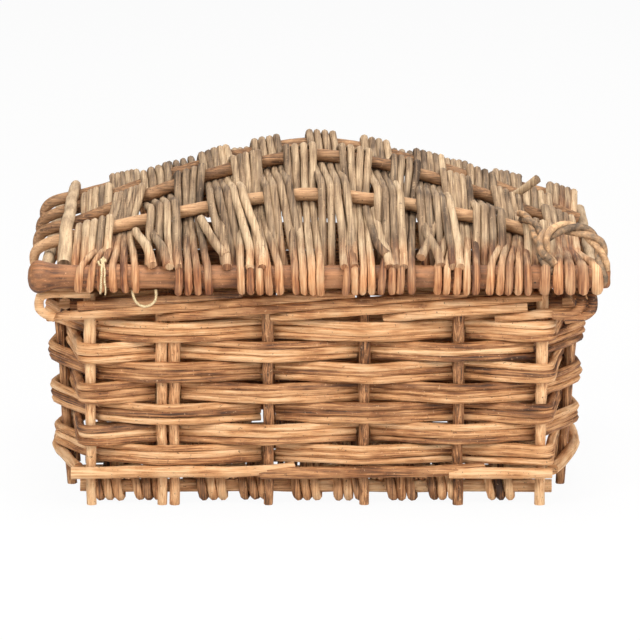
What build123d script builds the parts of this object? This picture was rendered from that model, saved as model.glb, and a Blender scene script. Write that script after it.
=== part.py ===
"""A willow hamper with a domed, hinged lid. Millimetres, +Z up.

The body is a basket of upright stakes with bands of willow rods woven round them,
on a floor of long sticks and cross weavers, and it ends in a rolled border.
The lid has six long sticks, four of them bowed up, with groups of rods woven from
front to back. Its rear stick turns in two willow loops tied to the rear border.
The origin is on the floor, under the middle of the hamper.
"""

import os
from math import atan, atan2, cos, floor, hypot, pi, radians, sin, sqrt, tan

from build123d import *

os.makedirs("parts", exist_ok=True)

# Willow, and the play between pieces that rest on each other
GAP = 0.3
STAKE_RADIUS = 6.0
STICK_SIDES = 8
WEAVER_HALF_THICKNESS = 3.3
WEAVER_HALF_WIDTH = 3.25
WALL_ROD_HALF_HEIGHT = 3.45
RIGHT_ANGLE_SHARE = sqrt(0.5)
HALF_CORNER = pi / STICK_SIDES

# Body: where the stakes stand at the floor, and how far they lean out at the top
FRONT_STAKES = (-226.0, -149.0, -48.0, 48.0, 143.0, 226.0)
DOUBLED_STAKE = 1
BODY_HALF_DEPTH = 145.0
FRONT_LEAN = 28.0
SIDE_STAKE_SPACING = 100.0
SIDE_BULGE = 24.0
SIDE_LEAN = 14.0
STAKE_HEIGHT = 224.0
STAKE_END_BELOW_BORDER = 0.5

# Floor of the body
BASE_STICK_RADIUS = 7.0
BASE_STICK_HEIGHT = 17.0
BASE_INNER_STICKS = 3
BASE_STICK_OVERHANG = 12.0
BASE_GROUP_RODS = 2
BASE_ROD_HALF_WIDTH = 4.7

# Rows of the body
BOTTOM_ROD_RADIUS = 6.4
BOTTOM_ROD_HEIGHT = 37.0
RODS_PER_BAND = 3
LOWER_BANDS = 3
BORDER_ROD_RADIUS = 5.8
BORDER_RODS = 3
RIM_LOOP_RADIUS = 5.3
RIM_LOOP_LEG = 18.0

# Lid
LID_OVERHANG = 14.8375
LID_FRONT_STICK_RADIUS = 12.0
LID_REAR_STICK_RADIUS = 9.0
LID_REAR_STICK_SIDES = 16
FRONT_STICK_PAST_LEFT_BAR = 17.0
FRONT_STICK_PAST_RIGHT_BAR = 14.0
REAR_STICK_PAST_BOWS = 12.0
BOWED_STICK_RADIUS = 6.5
BOWED_STICK_RISE = (69.0, 95.0, 93.0, 69.0)
BOW_END_RISE = 22.0
BOW_POWER = 1.5
BOWS_PAST_RIGHT_BAR = 10.0
BOW_RUNS = 10
CURL_STEPS = ((20.0, 3.0), (31.0, 9.5), (36.2, 21.0))
LID_ZIGZAG = radians(28)
LID_GROUP_LEAST_SPACING = 28.5
LAST_GROUP_SETBACK = 22.0
LID_GROUP_RODS = 4
BUTT_RADIUS = 16.0
BUTT_ROUND = 5.0
BUTT_LENGTH = 26.0
SIDE_BAR_RADIUS = 6.4
LEFT_BAR_PAST_BOWS = 19.0
LEFT_BAR_RISE = 3.9
RIGHT_BAR_PAST_GROUPS = 21.5
TOP_BAR_PAST_BOWS = 1.0
TOP_BAR_END_RISE = 8.0
BAR_TILT = radians(25)
SHORT_END = 26.0
HANDLE_RADIUS = 6.2
HANDLE_SETBACK = 3.5
HANDLE_HALF_SPAN = 33.0
HANDLE_RISE = 36.0
HANDLE_LEAN = 14.0
HANDLE_SHAPE = (
    (-1, 0, 0),
    (-1, 0.35, 0.1),
    (-0.76, 0.76, 0.6),
    (-0.3, 0.97, 0.9),
    (0.25, 1, 1),
    (0.75, 0.8, 0.6),
    (1, 0.4, 0.1),
    (1, 0, 0),
)
TWINE_RADIUS = 1.3
TWINE_LOOP = (
    (-182.5, 4.0, 12.3),
    (-181.0, 6.0, 23.0),
    (-172.5, 8.0, 29.5),
    (-162.0, 7.0, 27.0),
    (-158.0, 5.5, 20.0),
    (-159.0, 4.0, 12.3),
)
TWINE_SIDES = 6
ARC_SHARE = 0.45
TWINE_TIE_PLACE = -216.5
TWINE_KNOT_RADIUS = 3.0
TWINE_KNOT_HALF_LENGTH = 2.6

# Hinge
HINGE_LOOP_RADIUS = 3.6
HINGE_LOOP_SIDES = 6
HINGE_PLAY = 0.4


def save(piece, name):
    """Label a finished piece and write it to its own file."""
    piece.label = name
    export_step(piece, "parts/" + name + ".step")


def lozenge_rod(points, across, half_width, half_thickness):
    """A willow rod with four long faces, bent along straight runs."""
    with BuildPart() as rod:
        with BuildLine() as route:
            Polyline(*points)
        with BuildSketch(Plane(route.line @ 0, x_dir=across, z_dir=route.line % 0)):
            Polygon(
                (half_width, 0),
                (0, half_thickness),
                (-half_width, 0),
                (0, -half_thickness),
                align=None,
            )
        sweep(path=route.line, transition=Transition.RIGHT)
    return rod.part


def round_rod(points, radius, sides=STICK_SIDES):
    """A thicker stick with many long faces, straight or bent along straight runs."""
    with BuildPart() as rod:
        with BuildLine() as route:
            Polyline(*points)
        with BuildSketch(Plane(route.line @ 0, z_dir=route.line % 0)):
            RegularPolygon(radius, sides)
        sweep(path=route.line, transition=Transition.RIGHT)
    return rod.part


# Heights of the rows: the border hangs on the stakes' heads, and as many bands of
# weave as fit fill the wall between the bottom row and the border
BORDER_TOP = STAKE_HEIGHT + STAKE_END_BELOW_BORDER
BORDER_PITCH = 2 * BORDER_ROD_RADIUS + GAP
BORDER_HEIGHTS = [
    BORDER_TOP - BORDER_PITCH * (BORDER_RODS - 1 - order) for order in range(BORDER_RODS)
]
WEAVE_TOP = BORDER_HEIGHTS[0] - BORDER_ROD_RADIUS
WEAVE_BOTTOM = BOTTOM_ROD_HEIGHT + BOTTOM_ROD_RADIUS + GAP
BAND_HEIGHT = RODS_PER_BAND * (2 * WALL_ROD_HALF_HEIGHT + GAP)
WALL_BANDS = floor(round((WEAVE_TOP - WEAVE_BOTTOM) / BAND_HEIGHT, 6))
WALL_ROD_PITCH = (WEAVE_TOP - WEAVE_BOTTOM) / (RODS_PER_BAND * WALL_BANDS)


# The four walls, walked round from the front left corner.
# A wall is its stakes at the floor, the way it is walked and the stake it starts on.
def front_plane(height):
    """How far in front of the middle the front stakes stand at a height."""
    return BODY_HALF_DEPTH + FRONT_LEAN * height / STAKE_HEIGHT


def side_stake_places(height, side):
    """The two stakes of one end wall at a height, front one first."""
    corner = FRONT_STAKES[-1] if side > 0 else FRONT_STAKES[0]
    x = corner + side * (SIDE_BULGE + SIDE_LEAN * height / STAKE_HEIGHT)
    spread = 1 + FRONT_LEAN / BODY_HALF_DEPTH * height / STAKE_HEIGHT
    return [(x, place * SIDE_STAKE_SPACING / 2 * spread) for place in (-1, 1)]


def wall_stakes(wall, height):
    """Stake centres along one wall at a height, in walking order."""
    depth = front_plane(height)
    if wall == "front":
        return [(x, -depth) for x in FRONT_STAKES]
    if wall == "rear":
        return [(x, depth) for x in reversed(FRONT_STAKES)]
    side = 1 if wall == "right" else -1
    corner = FRONT_STAKES[-1] if side > 0 else FRONT_STAKES[0]
    places = [(corner, -depth), *side_stake_places(height, side), (corner, depth)]
    return places if side > 0 else places[::-1]


WALL_WALK = {"front": (1, 0), "right": (0, 1), "rear": (-1, 0), "left": (0, -1)}
WALL_FIRST_STAKE = {"front": 0, "right": 5, "rear": 8, "left": 13}
DOUBLED_STAKE_SHIFT = STAKE_RADIUS + GAP / 2


def is_doubled(wall, order):
    """The second stake from the left at the front is a pair."""
    return wall == "front" and order == DOUBLED_STAKE


# Stakes, cut level at the floor and at the top
def leaning_stake(foot, head):
    """A round upright between two plan places, with level ends."""
    run = Vector(head[0] - foot[0], head[1] - foot[1], STAKE_HEIGHT)
    with BuildPart() as stake:
        with BuildSketch(Plane((foot[0], foot[1], 0))):
            RegularPolygon(STAKE_RADIUS, STICK_SIDES)
        extrude(amount=run.length, dir=run)
    return stake.part


CORNERS = {
    "front_left": ("front", 0),
    "front_right": ("front", -1),
    "rear_right": ("rear", 0),
    "rear_left": ("rear", -1),
}
for corner_name, (wall, order) in CORNERS.items():
    foot = wall_stakes(wall, 0)[order]
    head = wall_stakes(wall, STAKE_HEIGHT)[order]
    save(leaning_stake(foot, head), corner_name + "_corner_stake")

for wall in WALL_WALK:
    uprights = []
    feet = wall_stakes(wall, 0)
    heads = wall_stakes(wall, STAKE_HEIGHT)
    for order in range(1, len(feet) - 1):
        shifts = (0,)
        if is_doubled(wall, order):
            shifts = (-DOUBLED_STAKE_SHIFT, DOUBLED_STAKE_SHIFT)
        for shift in shifts:
            foot = (feet[order][0] + shift, feet[order][1])
            head = (heads[order][0] + shift, heads[order][1])
            uprights.append(leaning_stake(foot, head))
    with BuildPart() as wall_uprights:
        add(uprights)
    save(wall_uprights.part, wall + "_stakes")

# Bands of weave: each rod passes in front of one stake and behind the next
WALL_ZIGZAG = radians(18)
END_WALL_ZIGZAG = radians(30)
WALL_TOUCH = STAKE_RADIUS + WEAVER_HALF_THICKNESS + GAP
CORNER_REACH = WALL_TOUCH / cos(WALL_ZIGZAG)
INNER_CORNER_SETBACK = WALL_TOUCH + 2 * WEAVER_HALF_THICKNESS + 3 * GAP


def wall_route(wall, height, band):
    """The way of one rod along a wall, from corner stake to corner stake."""
    ahead = Vector(*WALL_WALK[wall])
    out = Vector(ahead.Y, -ahead.X)
    stakes = wall_stakes(wall, height)
    is_end_wall = wall in ("left", "right")
    reach = WALL_TOUCH / cos(END_WALL_ZIGZAG if is_end_wall else WALL_ZIGZAG)
    route = []
    for order, place in enumerate(stakes):
        stake = Vector(*place)
        outside = (WALL_FIRST_STAKE[wall] + order + band) % 2 == 1
        beyond = ahead * ((order == len(stakes) - 1) - (order == 0))
        if beyond.length == 0:
            across = out * (reach if outside else -reach)
            half = DOUBLED_STAKE_SHIFT if is_doubled(wall, order) else 0
            ends = (-half, half) if half else (0,)
            route += [stake + across + ahead * shift for shift in ends]
        elif outside:
            middle = (out + beyond) * CORNER_REACH * RIGHT_ANGLE_SHARE
            short_of_it = (out - beyond) * GAP / 2 * RIGHT_ANGLE_SHARE
            turn = [
                stake + out * CORNER_REACH,
                stake + (out + beyond * tan(HALF_CORNER)) * CORNER_REACH,
                stake + middle + short_of_it,
            ]
            route += turn if order else turn[::-1]
        elif is_end_wall:
            route.append(stake - out * reach - beyond * INNER_CORNER_SETBACK)
        else:
            route.append(stake - out * reach)
    return [(point.X, point.Y, height) for point in route]


for wall in WALL_WALK:
    for layer, first_band, end_band in (
        ("lower", 0, LOWER_BANDS),
        ("upper", LOWER_BANDS, WALL_BANDS),
    ):
        rods = []
        for band in range(first_band, end_band):
            for rod in range(RODS_PER_BAND):
                row = band * RODS_PER_BAND + rod + 0.5
                height = WEAVE_BOTTOM + WALL_ROD_PITCH * row
                rods.append(
                    lozenge_rod(
                        wall_route(wall, height, band),
                        (0, 0, 1),
                        WALL_ROD_HALF_HEIGHT,
                        WEAVER_HALF_THICKNESS,
                    )
                )
        with BuildPart() as wall_weave:
            add(rods)
        save(wall_weave.part, wall + "_" + layer + "_weave")


# Floor: five long sticks, and rods woven across them in groups between the stakes
def base_stick_depths():
    """How far back each long stick of the floor lies, from front to rear."""
    outer = front_plane(BASE_STICK_HEIGHT) - STAKE_RADIUS - GAP - BASE_STICK_RADIUS
    steps = BASE_INNER_STICKS + 1
    return [outer * (2 * order / steps - 1) for order in range(steps + 1)]


BASE_DEPTHS = base_stick_depths()
BASE_STICK_END = FRONT_STAKES[-1] + BASE_STICK_OVERHANG
base_sticks = []
for depth in BASE_DEPTHS:
    ends = [(x, depth, BASE_STICK_HEIGHT) for x in (-BASE_STICK_END, BASE_STICK_END)]
    base_sticks.append(round_rod(ends, BASE_STICK_RADIUS))
save(base_sticks[0], "base_front_stick")
save(base_sticks[-1], "base_rear_stick")
with BuildPart() as base_inner_sticks:
    add(base_sticks[1:-1])
save(base_inner_sticks.part, "base_inner_sticks")


def wrap_turn(depth, height, distance, first, last):
    """Corners of a rod's turn round a stick, from one eighth of a turn to another."""
    step = 1 if last > first else -1
    corner = distance / cos(pi / 8)
    turn = []
    for eighth in range(first, last + step, step):
        way = (eighth + 0.5) * pi / 4
        turn.append((depth + corner * cos(way), height + corner * sin(way)))
    return turn


def base_group_route():
    """Way of a floor rod: round the front stick, then over and under to the rear."""
    touch = BASE_STICK_RADIUS + WEAVER_HALF_THICKNESS + GAP
    reach = touch / cos(WALL_ZIGZAG)
    route = wrap_turn(BASE_DEPTHS[0], BASE_STICK_HEIGHT, touch, 1, 6)
    for order, depth in enumerate(BASE_DEPTHS[1:]):
        up_or_down = reach if order % 2 == 0 else -reach
        route.append((depth, BASE_STICK_HEIGHT + up_or_down))
    return route


def base_group_columns():
    """Middle of each group of floor rods, side by side between the stakes."""
    width = BASE_GROUP_RODS * (2 * BASE_ROD_HALF_WIDTH + GAP)
    columns = []
    for order, (left, right) in enumerate(zip(FRONT_STAKES, FRONT_STAKES[1:])):
        free_left = left + STAKE_RADIUS
        free_right = right - STAKE_RADIUS
        if order == DOUBLED_STAKE:
            free_left += DOUBLED_STAKE_SHIFT
        if order + 1 == DOUBLED_STAKE:
            free_right -= DOUBLED_STAKE_SHIFT
        count = int((free_right - free_left) / width)
        pitch = (free_right - free_left) / count
        columns += [free_left + pitch * (place + 0.5) for place in range(count)]
    return columns


BASE_ROUTE = base_group_route()
BASE_TURNED_ROUTE = [(-y, 2 * BASE_STICK_HEIGHT - z) for y, z in BASE_ROUTE]
base_groups = {"base_weavers_from_front": [], "base_weavers_from_rear": []}
for order, column in enumerate(base_group_columns()):
    name = "base_weavers_from_front" if order % 2 == 0 else "base_weavers_from_rear"
    route = BASE_ROUTE if order % 2 == 0 else BASE_TURNED_ROUTE
    for rod in range(BASE_GROUP_RODS):
        shift = (rod - (BASE_GROUP_RODS - 1) / 2) * (2 * BASE_ROD_HALF_WIDTH + GAP)
        base_groups[name].append(
            lozenge_rod(
                [(column + shift, y, z) for y, z in route],
                (1, 0, 0),
                BASE_ROD_HALF_WIDTH,
                WEAVER_HALF_THICKNESS,
            )
        )
for name, rods in base_groups.items():
    with BuildPart() as base_weavers:
        add(rods)
    save(base_weavers.part, name)

# The lowest row is one thick rod after another, outside all the stakes
BOTTOM_ROD_REACH = STAKE_RADIUS + BOTTOM_ROD_RADIUS + 2 * GAP
for wall, walk in WALL_WALK.items():
    ahead = Vector(*walk)
    out = Vector(ahead.Y, -ahead.X)
    stakes = [Vector(*place) for place in wall_stakes(wall, BOTTOM_ROD_HEIGHT)]
    line = [stake + out * BOTTOM_ROD_REACH for stake in stakes]
    if wall in ("left", "right"):
        line[0] += ahead * (BOTTOM_ROD_REACH - STAKE_RADIUS)
        line[-1] -= ahead * (BOTTOM_ROD_REACH - STAKE_RADIUS)
        places = [(point.X, point.Y, BOTTOM_ROD_HEIGHT) for point in line]
        save(round_rod(places, BOTTOM_ROD_RADIUS), wall + "_bottom_rod")
        continue
    line[0] -= ahead * BOTTOM_ROD_REACH
    line[-1] += ahead * BOTTOM_ROD_REACH
    rods = []
    for start, end in zip(line[::2], [*line[2::2], line[-1]]):
        ends = (start + ahead * GAP / 2, end - ahead * GAP / 2)
        places = [(point.X, point.Y, BOTTOM_ROD_HEIGHT) for point in ends]
        rods.append(round_rod(places, BOTTOM_ROD_RADIUS))
    with BuildPart() as bottom_row:
        add(rods)
    save(bottom_row.part, wall + "_bottom_rods")

# Rolled border: rods stacked outside the stakes, and two more inside them
BORDER_REACH = STAKE_RADIUS + BORDER_ROD_RADIUS + GAP


def border_depth(height, reach=BORDER_REACH):
    """How far from the middle a front or rear border rod lies."""
    return front_plane(height) + reach


def border_side(height, reach=BORDER_REACH):
    """How far from the middle an end border rod lies."""
    return side_stake_places(height, 1)[0][0] + reach


RIM_LOOP_SPREAD = (BORDER_TOP - BORDER_HEIGHTS[0]) / 2
RIM_LOOP_MIDDLE = (BORDER_TOP + BORDER_HEIGHTS[0]) / 2
RIM_LOOP_DEPTH = border_depth(RIM_LOOP_MIDDLE) - RIM_LOOP_SPREAD
RIM_LOOP_BACK = RIM_LOOP_DEPTH - RIM_LOOP_LEG
OUTER_LOOP_PLACE = border_side(BORDER_TOP)
INNER_LOOP_PLACE = OUTER_LOOP_PLACE - 2 * RIM_LOOP_RADIUS - GAP
BORDER_END = OUTER_LOOP_PLACE + BORDER_ROD_RADIUS
FRONT_BORDER_LEFT = -(OUTER_LOOP_PLACE - RIM_LOOP_RADIUS - GAP)
FRONT_BORDER_RIGHT = INNER_LOOP_PLACE - RIM_LOOP_RADIUS - GAP


def rim_loop(place):
    """A border rod's end that comes forward, turns down and goes back."""
    turn = wrap_turn(-RIM_LOOP_DEPTH, RIM_LOOP_MIDDLE, RIM_LOOP_SPREAD, 2, 5)
    route = [(-RIM_LOOP_BACK, BORDER_TOP), *turn, (-RIM_LOOP_BACK, BORDER_HEIGHTS[0])]
    return round_rod([(place, y, z) for y, z in route], RIM_LOOP_RADIUS)


with BuildPart() as rim_loops:
    add([rim_loop(x) for x in (-OUTER_LOOP_PLACE, INNER_LOOP_PLACE, OUTER_LOOP_PLACE)])
save(rim_loops.part, "rim_loops")

for wall in WALL_WALK:
    rods = []
    for height in BORDER_HEIGHTS:
        depth = border_depth(height)
        inner_face = depth - BORDER_ROD_RADIUS - GAP
        side = border_side(height)
        ends = {
            "front": ((FRONT_BORDER_LEFT, -depth), (FRONT_BORDER_RIGHT, -depth)),
            "rear": ((-BORDER_END, depth), (BORDER_END, depth)),
            "right": ((side, GAP - RIM_LOOP_BACK), (side, inner_face)),
            "left": ((-side, GAP - RIM_LOOP_BACK), (-side, inner_face)),
        }[wall]
        rods.append(round_rod([(*end, height) for end in ends], BORDER_ROD_RADIUS))
    for height in BORDER_HEIGHTS[:-1]:
        depth = border_depth(height, -BORDER_REACH)
        side = border_side(height, -BORDER_REACH)
        side_limit = side - BORDER_ROD_RADIUS - GAP
        ends = {
            "front": ((-side_limit, -depth), (side_limit, -depth)),
            "rear": ((-side_limit, depth), (side_limit, depth)),
            "right": ((side, -depth), (side, depth)),
            "left": ((-side, -depth), (-side, depth)),
        }[wall]
        rods.append(round_rod([(*end, height) for end in ends], BORDER_ROD_RADIUS))
    with BuildPart() as border:
        add(rods)
    save(border.part, wall + "_border")

# Lid: where its six long sticks lie, from front to rear
# The wraps of its front stick rest on the front border
WRAP_RADIUS = LID_FRONT_STICK_RADIUS + GAP + 2 * WEAVER_HALF_THICKNESS
REST_DISTANCE = WRAP_RADIUS + BORDER_ROD_RADIUS + GAP
LID_HALF_DEPTH = border_depth(BORDER_TOP) + LID_OVERHANG
LID_HEIGHT = BORDER_TOP + REST_DISTANCE / RIGHT_ANGLE_SHARE - LID_OVERHANG
LID_STICKS = len(BOWED_STICK_RISE) + 2
LID_DEPTHS = [
    LID_HALF_DEPTH * (2 * order / (LID_STICKS - 1) - 1) for order in range(LID_STICKS)
]

# Along the lid: the bows span the body, and everything else follows from them
BOW_HALF_SPAN = FRONT_STAKES[-1] + SIDE_BULGE
GROUPS_HALF_SPAN = BOW_HALF_SPAN - LAST_GROUP_SETBACK
LID_GROUPS_EACH_SIDE = 2 * floor(round(GROUPS_HALF_SPAN / LID_GROUP_LEAST_SPACING / 2, 6))
LID_GROUP_SPACING = GROUPS_HALF_SPAN / LID_GROUPS_EACH_SIDE
HINGE_COLUMN = LID_GROUPS_EACH_SIDE - 1
LAST_COLUMN = LID_GROUP_SPACING * (LID_GROUPS_EACH_SIDE + 1)
LEFT_BAR_PLACE = -BOW_HALF_SPAN - LEFT_BAR_PAST_BOWS
RIGHT_BAR_PLACE = LAST_COLUMN + RIGHT_BAR_PAST_GROUPS
TOP_BAR_PLACE = -BOW_HALF_SPAN - TOP_BAR_PAST_BOWS
LID_FRONT_STICK_LEFT = LEFT_BAR_PLACE - FRONT_STICK_PAST_LEFT_BAR
LID_FRONT_STICK_RIGHT = RIGHT_BAR_PLACE + FRONT_STICK_PAST_RIGHT_BAR
LID_REAR_STICK_HALF_LENGTH = BOW_HALF_SPAN + REAR_STICK_PAST_BOWS
BOWED_STICK_RIGHT = RIGHT_BAR_PLACE + BOWS_PAST_RIGHT_BAR


def bow_height(rise, x):
    """How high a bowed stick's bend at one place stands over the outer sticks."""
    return rise - (rise - BOW_END_RISE) * (abs(x) / BOW_HALF_SPAN) ** BOW_POWER


BOW_RUN = (BOWED_STICK_RIGHT + BOW_HALF_SPAN) / BOW_RUNS


def lid_stick_centre(order, x):
    """Depth and height of one long stick of the lid, bent in straight runs."""
    if order in (0, LID_STICKS - 1):
        return LID_DEPTHS[order], LID_HEIGHT
    rise = BOWED_STICK_RISE[order - 1]
    run = floor((x + BOW_HALF_SPAN) / BOW_RUN)
    left = run * BOW_RUN - BOW_HALF_SPAN
    share = (x - left) / BOW_RUN
    height = (1 - share) * bow_height(rise, left) + share * bow_height(
        rise, left + BOW_RUN
    )
    return LID_DEPTHS[order], LID_HEIGHT + height


def beside_bow(order, x, reach):
    """A point off a bowed stick, square to the dome: outside if reach is above 0."""
    before = lid_stick_centre(order - 1, x)
    here = lid_stick_centre(order, x)
    after = lid_stick_centre(order + 1, x)
    run = (after[0] - before[0], after[1] - before[1])
    length = hypot(*run)
    return here[0] - reach * run[1] / length, here[1] + reach * run[0] / length


# The front stick keeps its flared butt at the left
FRONT_AXIS = Axis((0, -LID_HALF_DEPTH, LID_HEIGHT), (1, 0, 0))
with BuildPart() as lid_front_stick:
    with BuildSketch(Plane.XZ.offset(LID_HALF_DEPTH)):
        with BuildLine():
            Polyline(
                (LID_FRONT_STICK_LEFT, LID_HEIGHT),
                (LID_FRONT_STICK_LEFT, LID_HEIGHT + BUTT_RADIUS - BUTT_ROUND),
                (LID_FRONT_STICK_LEFT + BUTT_ROUND, LID_HEIGHT + BUTT_RADIUS),
                (
                    LID_FRONT_STICK_LEFT + BUTT_LENGTH,
                    LID_HEIGHT + LID_FRONT_STICK_RADIUS,
                ),
                (LID_FRONT_STICK_RIGHT, LID_HEIGHT + LID_FRONT_STICK_RADIUS),
                (LID_FRONT_STICK_RIGHT, LID_HEIGHT),
                close=True,
            )
        make_face()
    revolve(axis=FRONT_AXIS)
save(lid_front_stick.part, "lid_front_stick")
rear_stick_ends = [
    (side * LID_REAR_STICK_HALF_LENGTH, LID_HALF_DEPTH, LID_HEIGHT) for side in (-1, 1)
]
rear_stick = round_rod(rear_stick_ends, LID_REAR_STICK_RADIUS, LID_REAR_STICK_SIDES)
save(rear_stick, "lid_rear_stick")

# Bowed sticks: their left ends curl down over the side bar
for order in range(1, LID_STICKS - 1):
    places = [run * BOW_RUN - BOW_HALF_SPAN for run in range(BOW_RUNS + 1)]
    bow = [(x, *lid_stick_centre(order, x)) for x in places]
    curl = [
        (-BOW_HALF_SPAN - out, LID_DEPTHS[order], bow[0][2] - down)
        for out, down in CURL_STEPS
    ]
    save(
        round_rod([*curl[::-1], *bow], BOWED_STICK_RADIUS),
        "lid_bowed_stick_" + str(order),
    )

# Side bars: one under the sticks at each end, and one over them at the left
BAR_TOUCH = (BOWED_STICK_RADIUS + SIDE_BAR_RADIUS) * cos(HALF_CORNER) + 2 * GAP
BAR_FRONT = LID_FRONT_STICK_RADIUS + GAP - LID_HALF_DEPTH
bar_to_butt = LEFT_BAR_PLACE - SIDE_BAR_RADIUS - LID_FRONT_STICK_LEFT - BUTT_ROUND
butt_share = 1 - bar_to_butt / (BUTT_LENGTH - BUTT_ROUND)
butt_flare = (BUTT_RADIUS - LID_FRONT_STICK_RADIUS) * butt_share
BUTT_FRONT = BAR_FRONT + butt_flare
BAR_REAR = LID_HALF_DEPTH - LID_REAR_STICK_RADIUS - GAP
RIGHT_BAR_RISE = (
    lid_stick_centre(2, RIGHT_BAR_PLACE)[1] - LID_HEIGHT - BAR_TOUCH / cos(BAR_TILT)
)
for name, place, rise, front in (
    ("lid_left_side_bar", LEFT_BAR_PLACE, LEFT_BAR_RISE, BUTT_FRONT),
    ("lid_right_side_bar", RIGHT_BAR_PLACE, RIGHT_BAR_RISE, BAR_FRONT),
):
    bar_ends = [(place, depth, LID_HEIGHT + rise) for depth in (front, BAR_REAR)]
    save(round_rod(bar_ends, SIDE_BAR_RADIUS), name)
top_bar_end = BAR_FRONT + SIDE_BAR_RADIUS
top_bar_route = [(top_bar_end, LID_HEIGHT + TOP_BAR_END_RISE)]
for order in range(1, LID_STICKS - 1):
    top_bar_route.append(beside_bow(order, TOP_BAR_PLACE, BAR_TOUCH / cos(BAR_TILT)))
top_bar_route.append((BAR_REAR - SIDE_BAR_RADIUS, LID_HEIGHT + TOP_BAR_END_RISE))
save(
    round_rod([(TOP_BAR_PLACE, y, z) for y, z in top_bar_route], SIDE_BAR_RADIUS),
    "lid_left_top_bar",
)


# Groups of rods woven front to back over and under the bowed sticks
def lid_rod_route(x, from_front, stops_short):
    """Way of a lid rod: round one outer stick, then over and under to the other."""
    orders = list(range(LID_STICKS)) if from_front else list(range(LID_STICKS))[::-1]
    near = -1 if from_front else 1
    radius = LID_FRONT_STICK_RADIUS if from_front else LID_REAR_STICK_RADIUS
    far_radius = LID_REAR_STICK_RADIUS if from_front else LID_FRONT_STICK_RADIUS
    touch = radius + WEAVER_HALF_THICKNESS + GAP
    slope = atan(
        (lid_stick_centre(2, x - 1)[1] - lid_stick_centre(2, x + 1)[1]) / 2
    )
    reach = (
        BOWED_STICK_RADIUS / cos(slope) + WEAVER_HALF_THICKNESS + GAP
    ) / cos(LID_ZIGZAG)
    weave = [
        beside_bow(order, x, reach if place % 2 else -reach)
        for place, order in enumerate(orders[1:-1])
    ]
    last_corner = 2 if weave[0][1] > LID_HEIGHT + touch else 1
    turn = wrap_turn(-LID_HALF_DEPTH, LID_HEIGHT, touch, 7, last_corner)
    route = [*((-near * y, z) for y, z in turn), *weave]
    if stops_short:
        route.append((-near * (LID_HALF_DEPTH - SHORT_END), LID_HEIGHT + SHORT_END))
    else:
        depth, height = weave[-1]
        incline = atan2(height - LID_HEIGHT, LID_HALF_DEPTH - abs(depth))
        tucked = far_radius + WEAVER_HALF_THICKNESS * sin(incline) + 2 * GAP
        route.append((-near * (LID_HALF_DEPTH - tucked), LID_HEIGHT))
    return route


def lid_group(column):
    """The rods of one group, side by side."""
    rods = []
    for rod in range(LID_GROUP_RODS):
        shift = (rod - (LID_GROUP_RODS - 1) / 2) * (2 * WEAVER_HALF_WIDTH + GAP)
        x = column * LID_GROUP_SPACING + shift
        route = lid_rod_route(x, column % 2 != 0, abs(column) == HINGE_COLUMN)
        rods.append(
            lozenge_rod(
                [(x, y, z) for y, z in route],
                (1, 0, 0),
                WEAVER_HALF_WIDTH,
                WEAVER_HALF_THICKNESS,
            )
        )
    return rods


for pair in range(LID_GROUPS_EACH_SIDE + 1):
    column = 2 * pair - LID_GROUPS_EACH_SIDE
    with BuildPart() as lid_weavers:
        add([*lid_group(column), *lid_group(column + 1)])
    save(lid_weavers.part, "lid_weavers_" + str(pair + 1))

# Handle: a thick willow loop that stands on the right end of the front stick
handle_middle = LAST_COLUMN - HANDLE_SETBACK
handle_foot = LID_HEIGHT + LID_FRONT_STICK_RADIUS + GAP
handle_route = [
    (
        handle_middle + HANDLE_HALF_SPAN * across,
        HANDLE_LEAN * back - LID_HALF_DEPTH,
        handle_foot + HANDLE_RISE * up,
    )
    for across, up, back in HANDLE_SHAPE
]
save(round_rod(handle_route, HANDLE_RADIUS), "lid_handle")

# Twine: a loose loop that hangs under the front stick, and a knotted end round it
twine_points = [
    Vector(x, -LID_HALF_DEPTH - ahead, LID_HEIGHT - below) for x, ahead, below in TWINE_LOOP
]
twine_arcs = []
for before, corner, after in zip(twine_points, twine_points[1:], twine_points[2:]):
    run_in = corner - before
    run_out = after - corner
    half_turn = radians(run_in.get_angle(run_out)) / 2
    shorter = min(run_in.length, run_out.length)
    twine_arcs.append(ARC_SHARE * shorter / tan(half_turn))
with BuildPart() as twine_loop:
    with BuildLine() as twine_route:
        FilletPolyline(*twine_points, radius=twine_arcs)
    with BuildSketch(Plane(twine_route.line @ 0, z_dir=twine_route.line % 0)) as section:
        RegularPolygon(TWINE_RADIUS, TWINE_SIDES)
    sweep(path=twine_route.line)
print("twine_loop arcs, mm:", [round(arc, 1) for arc in twine_arcs])
print("twine_loop length, mm:", round(twine_route.wire().length, 1))
tube_share = twine_loop.part.volume / (section.sketch.area * twine_route.wire().length)
print("twine_loop volume over section times length:", round(tube_share, 3))
save(twine_loop.part, "twine_loop")

tie_distance = LID_FRONT_STICK_RADIUS + TWINE_RADIUS + GAP
tie_turn = wrap_turn(-LID_HALF_DEPTH, LID_HEIGHT, tie_distance, 1, 5)
knot_height = LID_HEIGHT + LID_FRONT_STICK_RADIUS + GAP + TWINE_KNOT_RADIUS
knot_ends = [
    (TWINE_TIE_PLACE + side * TWINE_KNOT_HALF_LENGTH, -LID_HALF_DEPTH, knot_height)
    for side in (-1, 1)
]
with BuildPart() as twine_tie:
    add(round_rod([(TWINE_TIE_PLACE, y, z) for y, z in tie_turn], TWINE_RADIUS))
    add(round_rod(knot_ends, TWINE_KNOT_RADIUS))
save(twine_tie.part, "twine_tie")

# Hinge: willow loops that straddle the rear border and hold the lid's rear stick
HINGE_LOOP_FLAT = HINGE_LOOP_RADIUS * cos(pi / HINGE_LOOP_SIDES)
HINGE_DISTANCE = LID_REAR_STICK_RADIUS + HINGE_PLAY + HINGE_LOOP_FLAT
HINGE_LOOP_BOTTOM = BORDER_HEIGHTS[0] - BORDER_ROD_RADIUS


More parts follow.
